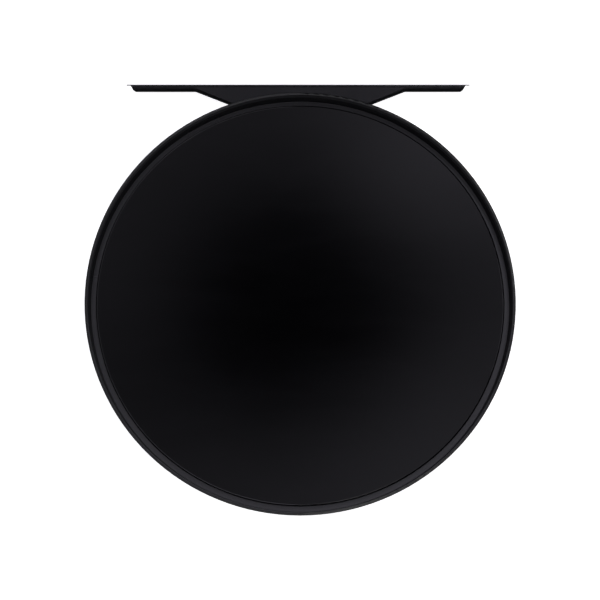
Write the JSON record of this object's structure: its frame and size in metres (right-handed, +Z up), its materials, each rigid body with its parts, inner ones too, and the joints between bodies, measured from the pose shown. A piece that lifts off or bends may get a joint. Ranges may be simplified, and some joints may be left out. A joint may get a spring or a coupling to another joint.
{
  "type": "robot vacuum",
  "caption": "Round black robot vacuum with a plain lid recessed inside a lipped floating bumper ring, parked on a thin charging dock with a wide back plate.",
  "frame": {"origin": "on the floor, in the middle of the box around the robot and its dock", "axes": "+Z up; +Y the robot's forward direction, towards the dock and the wall; +X the robot's right"},
  "size_m": [0.35, 0.375, 0.076],
  "materials": {
    "shell_black": "satin moulded plastic",
    "lid_black": "smooth satin-gloss plastic",
    "ring_black": "fine-textured plastic",
    "inner_grey": "matt plastic",
    "window_dark": "infrared-dark glossy plastic",
    "rubber": "matt rubber",
    "tyre": "ribbed rubber",
    "steel": "brushed",
    "motor_steel": "drawn steel can",
    "brass": "sintered",
    "contact": "plated, polished",
    "board": "lacquered fibreglass",
    "battery": "shrink-wrapped",
    "blade": "soft rubber",
    "brush_body": "moulded plastic",
    "bristle": "nylon bristle",
    "bin_smoke": "smoked translucent plastic",
    "filter": "pleated filter paper",
    "key_grey": "matt key",
    "dock_black": "satin moulded plastic",
    "plate_black": "smooth edge-polished plastic",
    "pulley": "acetal"
  },
  "bodies": {
    "chassis": {"chassis_tub": "shell_black", "top_deck": "inner_grey", "battery_pack": "battery", "battery_cover": "shell_black", "main_board": "board", "brush_motor": "motor_steel", "drive_belt": "rubber", "brush_bushes": "brass", "brush_guard": "shell_black", "fan_housing": "inner_grey", "fan_motor": "motor_steel", "side_brush_motor": "motor_steel", "cliff_windows": "window_dark", "charging_plates": "contact", "caster_socket": "inner_grey", "case_screws": "steel", "lid_magnets": "steel", "bumper_switches": "inner_grey", "bumper_springs": "steel", "left_wheel_spring": "steel", "right_wheel_spring": "steel"},
    "left_arm": {"left_gearbox": "inner_grey", "left_wheel_motor": "motor_steel"},
    "left_wheel": {"left_axle": "steel", "left_hub": "brush_body", "left_tyre": "tyre"},
    "right_arm": {"right_gearbox": "inner_grey", "right_wheel_motor": "motor_steel"},
    "right_wheel": {"right_axle": "steel", "right_hub": "brush_body", "right_tyre": "tyre"},
    "caster": {"caster_fork": "inner_grey", "caster_axle": "steel"},
    "caster_roller": {"caster_wheel": "rubber"},
    "main_brush": {"brush_core": "brush_body", "brush_blades": "blade", "brush_pulley": "pulley"},
    "belt_driver": {"motor_pulley": "pulley"},
    "side_brush": {"side_brush_hub": "brush_body", "side_bristles": "bristle", "side_brush_screw": "steel"},
    "impeller": {"fan_impeller": "brush_body"},
    "dust_bin": {"bin_tub": "bin_smoke", "bin_lid": "inner_grey", "bin_filter": "filter"},
    "flap": {"bin_flap": "inner_grey"},
    "latch": {"bin_latch": "key_grey"},
    "lid": {"top_lid": "lid_black"},
    "carriage": {"bumper_carriage": "shell_black"},
    "bumper": {"bumper_ring": "ring_black", "bumper_window": "window_dark"},
    "power_key": {"power_button": "key_grey"},
    "reset_key": {"reset_button": "key_grey"},
    "dock": {"dock_base": "dock_black", "dock_back_plate": "plate_black", "dock_feet": "rubber", "dock_jack": "shell_black"},
    "left_contact": {"left_dock_contact": "contact"},
    "right_contact": {"right_dock_contact": "contact"}
  },
  "joints": [
    {"name": "left_suspension", "type": "hinge", "parent": "chassis", "child": "left_arm", "pos_m": [-0.088, 0.0255, 0.03], "axis": [1, 0, 0], "range_deg": [0, 22], "stiffness_Nm_per_rad": 0.25, "springref_deg": 28.65, "deforming": ["left_wheel_spring"]},
    {"name": "left_wheel_spin", "type": "hinge", "parent": "left_arm", "child": "left_wheel", "pos_m": [-0.108, -0.0125, 0.026], "axis": [1, 0, 0], "continuous": true},
    {"name": "right_suspension", "type": "hinge", "parent": "chassis", "child": "right_arm", "pos_m": [0.088, 0.0255, 0.03], "axis": [1, 0, 0], "range_deg": [0, 22], "stiffness_Nm_per_rad": 0.25, "springref_deg": 28.65, "deforming": ["right_wheel_spring"]},
    {"name": "right_wheel_spin", "type": "hinge", "parent": "right_arm", "child": "right_wheel", "pos_m": [0.108, -0.0125, 0.026], "axis": [1, 0, 0], "continuous": true},
    {"name": "caster_swivel", "type": "hinge", "parent": "chassis", "child": "caster", "pos_m": [0, 0.0975, 0.03], "axis": [0, 0, 1], "continuous": true},
    {"name": "caster_roll", "type": "hinge", "parent": "caster", "child": "caster_roller", "pos_m": [0, 0.0895, 0.013], "axis": [1, 0, 0], "continuous": true},
    {"name": "main_brush_spin", "type": "hinge", "parent": "chassis", "child": "main_brush", "pos_m": [0, -0.0665, 0.021], "axis": [1, 0, 0], "continuous": true},
    {"name": "belt_driver_spin", "type": "hinge", "parent": "chassis", "child": "belt_driver", "pos_m": [0, -0.0785, 0.036], "axis": [1, 0, 0], "continuous": true},
    {"name": "side_brush_spin", "type": "hinge", "parent": "chassis", "child": "side_brush", "pos_m": [0.092, 0.0775, 0.01], "axis": [0, 0, 1], "continuous": true},
    {"name": "impeller_spin", "type": "hinge", "parent": "chassis", "child": "impeller", "pos_m": [-0.111, -0.0825, 0.03], "axis": [0, 0, 1], "continuous": true},
    {"name": "dust_bin_slide", "type": "slide", "parent": "chassis", "child": "dust_bin", "axis": [0, -1, 0], "range_m": [0, 0.12]},
    {"name": "latch_press", "type": "slide", "parent": "dust_bin", "child": "latch", "axis": [0, 1, 0], "range_m": [0, 0.003], "stiffness_N_per_m": 400, "springref_m": -0.001},
    {"name": "flap_swing", "type": "hinge", "parent": "dust_bin", "child": "flap", "pos_m": [0, -0.0963, 0.043], "axis": [-1, 0, 0], "range_deg": [0, 50]},
    {"name": "lid_lift", "type": "slide", "parent": "chassis", "child": "lid", "axis": [0, 0, 1], "range_m": [0, 0.05]},
    {"name": "bumper_fore_aft", "type": "slide", "parent": "chassis", "child": "carriage", "axis": [0, 1, 0], "range_m": [-0.002, 0.002], "stiffness_N_per_m": 1500, "deforming": ["bumper_springs"]},
    {"name": "bumper_side", "type": "slide", "parent": "carriage", "child": "bumper", "axis": [1, 0, 0], "range_m": [-0.002, 0.002], "stiffness_N_per_m": 1500},
    {"name": "power_press", "type": "slide", "parent": "chassis", "child": "power_key", "axis": [0, 0, -1], "range_m": [0, 0.001], "stiffness_N_per_m": 600, "springref_m": -0.0008},
    {"name": "reset_press", "type": "slide", "parent": "chassis", "child": "reset_key", "axis": [0, 0, -1], "range_m": [0, 0.001], "stiffness_N_per_m": 600, "springref_m": -0.0008},
    {"name": "dock_slide", "type": "slide", "parent": "chassis", "child": "dock", "axis": [0, 1, 0], "range_m": [0, 0.12]},
    {"name": "left_contact_press", "type": "slide", "parent": "dock", "child": "left_contact", "axis": [0, 0, -1], "range_m": [0, 0.0015], "stiffness_N_per_m": 300, "springref_m": -0.0008},
    {"name": "right_contact_press", "type": "slide", "parent": "dock", "child": "right_contact", "axis": [0, 0, -1], "range_m": [0, 0.0015], "stiffness_N_per_m": 300, "springref_m": -0.0008}
  ],
  "couplings": [
    {"joint": "belt_driver_spin", "follows": "main_brush_spin", "ratio": 2}
  ]
}
